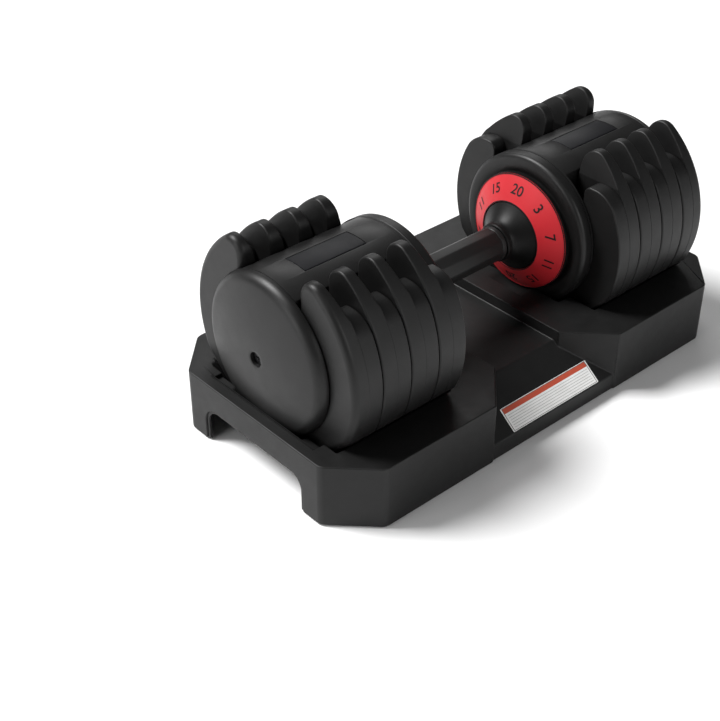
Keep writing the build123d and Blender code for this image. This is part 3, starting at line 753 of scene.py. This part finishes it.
class DUMBBELL_OT_dials(bpy.types.Operator):
    """Model the flared hubs, the red rings and their numbers"""
    bl_idname = "dumbbell.dials"
    bl_label = "Dials"

    def execute(self, context):
        s = context.scene.dumbbell_handle
        start, end, bore = hub_low.x, hub_high.x, 0.01205
        front, inner = ring_low.x, s.ring_inner
        outer, back = ring_high.y, ring_low.x + 0.0108
        c = s.collar
        profile = [(start, bore), (start, c - 0.0012), (start + 0.0003, c - 0.0004), (start + 0.0010, c)]
        for ring_x in (start + 0.0022, start + 0.0036):
            profile += [(ring_x, c), (ring_x + 0.00012, c - 0.00028), (ring_x + 0.00036, c - 0.00028),
                        (ring_x + 0.0005, c)]
        flare_start = start + 0.0044
        for i in range(1, 19):
            t = i / 18
            profile.append((flare_start + (front - flare_start) * t, c + (inner - 0.0008 - c) * t**1.55))
        rim = outer - 0.0036
        wall = outer + 0.0001
        profile += [(front + 0.0006, inner - 0.0007), (front + 0.0024, inner - 0.0005), (back - 0.0002, rim),
                    (back + 0.0004, wall - 0.0006), (back + 0.0007, wall), (back + 0.0024, wall),
                    (back + 0.0024, rim), (end, rim), (end, bore), profile[0]]
        hub = lathe("hub", profile, 144)
        # The hub's darker black is painted shade on the recessed flare.
        pair(hub, "hub_flare", "selector", finish_named("hub_black_painted_shade"), "hub", 28)
        lip = 0.0004
        ring = [(front + 0.0003, inner - 0.0002), (front, inner + 0.0002), (front + lip * 0.6, inner + 0.0010)]
        ring += [(back - lip * 0.9, outer - 0.0012), (back - 0.0004, outer - 0.0003), (back, outer)]
        ring += [(back + 0.0003, outer), (back + 0.0003, outer - 0.0022)]
        ring += [(front + 0.0020, inner - 0.0002), ring[0]]
        band = lathe("ring", ring, 180)
        pair(band, "dial_band", "selector", finish_named("dial_red"), "dial_ring", 28)
        # Thin dark rings in the digits' ink along the red ring's inner and outer edges: painted shadow for the
        # gaps beside the ring.
        thin = 0.00012
        lines = []
        wide = 0.00040
        for x, r in ((front + 0.00010, inner + wide), (back - 0.00030, outer - 0.00035)):
            dx, dr = wide * 0.42, wide * 0.9
            edge = [(x - dx - thin, r - dr), (x + dx - thin, r + dr), (x + dx + thin, r + dr),
                    (x - dx + thin, r - dr), (x - dx - thin, r - dr)]
            lines.append(lathe("gap_shadow_ring", edge, 180))
        pair(joined(*lines), "dial_gap_shadows", "selector", finish_named("digit_ink_and_gap_shadow"), None, 28)
        for side in SIDES:
            dial_numbers(side, s, (inner + 0.0010, outer - 0.0012), (front + lip * 0.6, back - lip * 0.9))
        return {"FINISHED"}


class DUMBBELL_OT_grip(bpy.types.Operator):
    """Model the grip: softly faceted along its length, with plain round ends"""
    bl_idname = "dumbbell.grip"
    bl_label = "Grip"

    def execute(self, context):
        s = context.scene.dumbbell_handle
        radius, half, bore = grip_high.y, grip_high.x, 0.01205
        body = half - s.flat_end
        deselect()
        bpy.ops.mesh.primitive_cylinder_add(vertices=s.facets, radius=radius, depth=2 * body,
                                            location=(0, 0, AXIS), rotation=(0, pi / 2, 0))
        grip = bpy.context.object
        bpy.ops.object.transform_apply(location=True, rotation=True, scale=True)
        choose_edges(grip, lambda e: abs(e.verts[0].co.x - e.verts[1].co.x) > body)
        bpy.ops.mesh.bevel(offset=0.0009, segments=3, profile=0.5)
        bpy.ops.object.mode_set(mode="OBJECT")
        softened(grip, 0.0005, 2, 50)
        ends = []
        for sign in (-1, 1):
            x0, x1 = sign * (body - 0.0006), sign * half
            ring = [(x0, bore), (x0, radius - 0.0006), (x0 + sign * 0.0005, radius - 0.0002),
                    (x0 + sign * 0.0012, radius - 0.00005), (x1 - sign * 0.0005, radius - 0.00005),
                    (x1, radius - 0.0005), (x1, bore), (x0, bore)]
            ends.append(lathe("grip_end", ring, 96))
        grip = joined(grip, *ends)
        finished(grip, "grip", "selector", finish_named("grip_black"), ["handle_grip"], 24)
        return {"FINISHED"}


# ---- tray ----
def packed_copy(node, name):
    """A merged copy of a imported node, ready to be refined."""
    deselect()
    source = frame["nodes"][node]
    obj = source.copy()
    obj.data = source.data.copy()
    obj.parent = None
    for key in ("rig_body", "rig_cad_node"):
        del obj[key]
    obj.name = obj.data.name = name
    bpy.context.scene.collection.objects.link(obj)
    edit(obj)
    bpy.ops.mesh.remove_doubles(threshold=2e-6)
    bpy.ops.mesh.dissolve_limited(angle_limit=radians(0.2), delimit={"NORMAL"})
    bpy.ops.object.mode_set(mode="OBJECT")
    return obj


def arch_lip(s, sign):
    """A thin stepped frame just inside one of the end arches."""
    def path(inset, low):
        half, high, r = s.arch_half - inset, s.arch_height - inset, s.arch_round - inset
        left = arc((-half + r, high - r), r, 180, 90, 10)
        right = arc((half - r, high - r), r, 90, 0, 10)
        return [(y, z - AXIS) for y, z in [(-half, low)] + left + right + [(half, low)]]

    outline = path(-0.0004, 0.0012) + path(s.lip, 0.0012)[::-1]
    x = sign * (tray_high.x - s.lip_back)
    return slab("lip", outline, x, -sign * s.lip_depth)


def bead(x, top, half=0.057, foot=0.00045, crest=0.00025, rise=0.00035):
    """A low ridge along one end of the tray's top."""
    corners = [(x - foot, -half, top - 0.0003), (x - crest, -half, top + rise),
               (x + crest, -half, top + rise), (x + foot, -half, top - 0.0003)]
    return prism("bead", corners, (0, 2 * half, 0))


class DUMBBELL_OT_tray(bpy.types.Operator):
    """Model the storage tray with softened edges, corner ramps and arch lips"""
    bl_idname = "dumbbell.tray"
    bl_label = "Tray"

    def execute(self, context):
        s = context.scene.dumbbell_tray
        tray = packed_copy("tray_shell", "tray")
        end, side, top = tray_high.x, tray_high.y, tray_high.z
        corners = ((end, side - s.chamfer), (end - s.chamfer, side))

        def outer_corner(e):
            a, b = (v.co for v in e.verts)
            upright = hypot(a.x - b.x, a.y - b.y) < 1e-5 and abs(a.z - b.z) > 0.01
            return upright and any(hypot(abs(a.x) - x, abs(a.y) - y) < 0.0006 for x, y in corners)

        choose_edges(tray, outer_corner)
        bpy.ops.mesh.bevel(offset=s.corner, segments=5, profile=0.5)
        bpy.ops.object.mode_set(mode="OBJECT")
        low_y, high_y, above = 0.0565, 0.0774, top + 0.002
        for sign in (1, -1):
            x0, x1 = sorted((sign * (end - 0.0225), sign * (end - 0.0115)))
            face = [(x0, low_y, top - s.ramp), (x0, high_y, top), (x0, high_y, above), (x0, low_y, above)]
            tray = carved(tray, prism("ramp", face, (x1 - x0, 0, 0)))
        softened(tray, s.edge, 3, 25)
        extras = []
        for sign in (1, -1):
            extras += [bead(sign * (end - s.band - back), top) for back in (0.0, 0.0013)]
            extras.append(arch_lip(s, sign))
        tray = joined(tray, *extras)
        finished(tray, "tray_moulding", "tray", finish_named("tray_black"), ["tray_shell"],
                 flat=True)
        repaint("foot_rubber", "tray_feet")
        repaint("nylon_grey", "release_posts")
        return {"FINISHED"}


class DUMBBELL_OT_label(bpy.types.Operator):
    """Model the plain sticker on the tray's front slope"""
    bl_idname = "dumbbell.label"
    bl_label = "Sticker"

    def execute(self, context):
        deselect()
        low, high = label_low, label_high
        across, up = high.x - low.x, Vector((0, high.y - low.y, high.z - low.z))
        bpy.ops.mesh.primitive_plane_add(size=1.0)
        label = bpy.context.object
        edit(label)
        bpy.ops.mesh.bevel(offset=0.02, segments=3, affect="VERTICES")
        bpy.ops.object.mode_set(mode="OBJECT")
        tilt = atan2(up.z, up.y)
        label.scale = (across, up.length - 0.0004, 1)
        label.rotation_euler = (tilt, 0, 0)
        label.location = ((low.x + high.x) / 2, (low.y + high.y) / 2, (low.z + high.z) / 2)
        bpy.ops.object.transform_apply(location=True, rotation=True, scale=True)
        apply_modifier(label, "SOLIDIFY", thickness=0.00012, offset=0.0)
        finished(label, "sticker", "tray", finish_named("label_vinyl_white"), ["tray_label"], 30)
        return {"FINISHED"}


class DUMBBELL_OT_inner_works(bpy.types.Operator):
    """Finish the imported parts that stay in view: shaft, selector discs, locks, springs and screws"""
    bl_idname = "dumbbell.inner_works"
    bl_label = "Inner works"

    def execute(self, context):
        works = {
            "turned_steel": ["tie_rod", "handle_tube"],
            "zinc_plate": ["index_wheel_%s", "lock_slider_%s", "lock_spring_%s", "detent_ball_%s",
                           "disc_screws", "detent_springs"],
            "black_oxide": ["end_screws", "end_washers"] + ["weight_core_%%s_%d" % n for n in PLATE_NUMBERS],
            "nylon_grey": ["selector_disc_%d_%%s" % n for n in PLATE_NUMBERS],
            "sintered_bronze": ["rod_bushes"],
        }
        for material, names in works.items():
            for name in names:
                repaint(material, *([name % side for side in SIDES] if "%s" in name else [name]))
        return {"FINISHED"}


# ---- stage ----
class DUMBBELL_OT_stage(bpy.types.Operator):
    """Set up the pale floor, soft lights and camera"""
    bl_idname = "dumbbell.stage"
    bl_label = "Stage"

    def execute(self, context):
        deselect()
        bpy.ops.mesh.primitive_plane_add(size=12.0, location=(0, 0, 0))
        floor = bpy.context.object
        floor.name = "floor"
        mat, shader, add, wire = blank("pale_floor")
        cloud = noise(add, coordinates(add), 1.5, 2.0)
        wire(mixed(add, cloud, (0.90, 0.90, 0.90, 1), (0.92, 0.92, 0.92, 1)), "Base Color")
        shader.inputs["Roughness"].default_value = 0.6
        floor.data.materials.append(mat)
        lamps = (("front", (0.3, -2.4, 1.1), 1.3, 20.0),
                 ("back", (1.2, 1.5, 1.4), 1.2, 10.0), ("end", (-2.3, 0.2, 0.8), 1.2, 17.0))
        for name, place, size, power in lamps:
            light = bpy.data.lights.new(name, "AREA")
            light.shape, light.size, light.energy = "SQUARE", size, power
            lamp = bpy.data.objects.new(name, light)
            lamp.location = place
            aim = Vector((0, 0, 0.06)) - Vector(place)
            lamp.rotation_euler = aim.to_track_quat("-Z", "Y").to_euler()
            context.scene.collection.objects.link(lamp)
        key = bpy.data.lights.new("key", "SUN")
        key.energy, key.angle = 4.8, radians(24)
        lamp = bpy.data.objects.new("key", key)
        lamp.rotation_euler = Vector((0.9, -1.2, -1.8)).to_track_quat("-Z", "Y").to_euler()
        context.scene.collection.objects.link(lamp)
        world = bpy.data.worlds.new("studio")
        world.use_nodes = True
        nodes, links = world.node_tree.nodes, world.node_tree.links
        seen = nodes.new("ShaderNodeLightPath").outputs["Is Camera Ray"]
        level = nodes.new("ShaderNodeMapRange")
        level.inputs["To Min"].default_value, level.inputs["To Max"].default_value = 0.10, 0.95
        links.new(seen, level.inputs["Value"])
        nodes["Background"].inputs["Color"].default_value = (1, 1, 1, 1)
        links.new(level.outputs["Result"], nodes["Background"].inputs["Strength"])
        context.scene.world = world
        context.scene.view_settings.view_transform = "Standard"
        lens = bpy.data.cameras.new("camera")
        lens.sensor_fit, lens.sensor_width, lens.lens = "HORIZONTAL", 36.0, 69.68
        lens.clip_start, lens.clip_end = 0.05, 50.0
        camera = bpy.data.objects.new("camera", lens)
        camera.location = (-0.6583, -0.6237, 0.6451)
        aim = Vector((-0.07988, 0.02512, 0.02827)) - camera.location
        camera.rotation_euler = aim.to_track_quat("-Z", "Y").to_euler()
        context.scene.collection.objects.link(camera)
        context.scene.camera = camera
        return {"FINISHED"}


PIECES = (DUMBBELL_OT_tray, DUMBBELL_OT_label, DUMBBELL_OT_plates, DUMBBELL_OT_end_caps,
          DUMBBELL_OT_inner_discs, DUMBBELL_OT_saddles, DUMBBELL_OT_dials, DUMBBELL_OT_grip,
          DUMBBELL_OT_inner_works, DUMBBELL_OT_stage)


class DUMBBELL_PT_panel(bpy.types.Panel):
    """Buttons that build each part of the dumbbell"""
    bl_label = "Adjustable dumbbell"
    bl_idname = "DUMBBELL_PT_panel"
    bl_space_type = "VIEW_3D"
    bl_region_type = "UI"
    bl_category = "Dumbbell"

    def draw(self, context):
        for piece in PIECES:
            self.layout.operator(piece.bl_idname)


GROUPS = (("dumbbell_plates", PlateSizes), ("dumbbell_covers", CoverSizes), ("dumbbell_handle", HandleSizes),
          ("dumbbell_tray", TraySizes), ("dumbbell_finishes", Finishes))


def register():
    for name, group in GROUPS:
        bpy.utils.register_class(group)
        setattr(bpy.types.Scene, name, PointerProperty(type=group))
    for cls in PIECES + (DUMBBELL_PT_panel,):
        bpy.utils.register_class(cls)


def unregister():
    for cls in reversed(PIECES + (DUMBBELL_PT_panel,)):
        bpy.utils.unregister_class(cls)
    for name, group in reversed(GROUPS):
        delattr(bpy.types.Scene, name)
        bpy.utils.unregister_class(group)


def main():
    register()
    for piece in PIECES:
        group, action = piece.bl_idname.split(".")
        getattr(getattr(bpy.ops, group), action)()


if __name__ == "__main__":
    main()
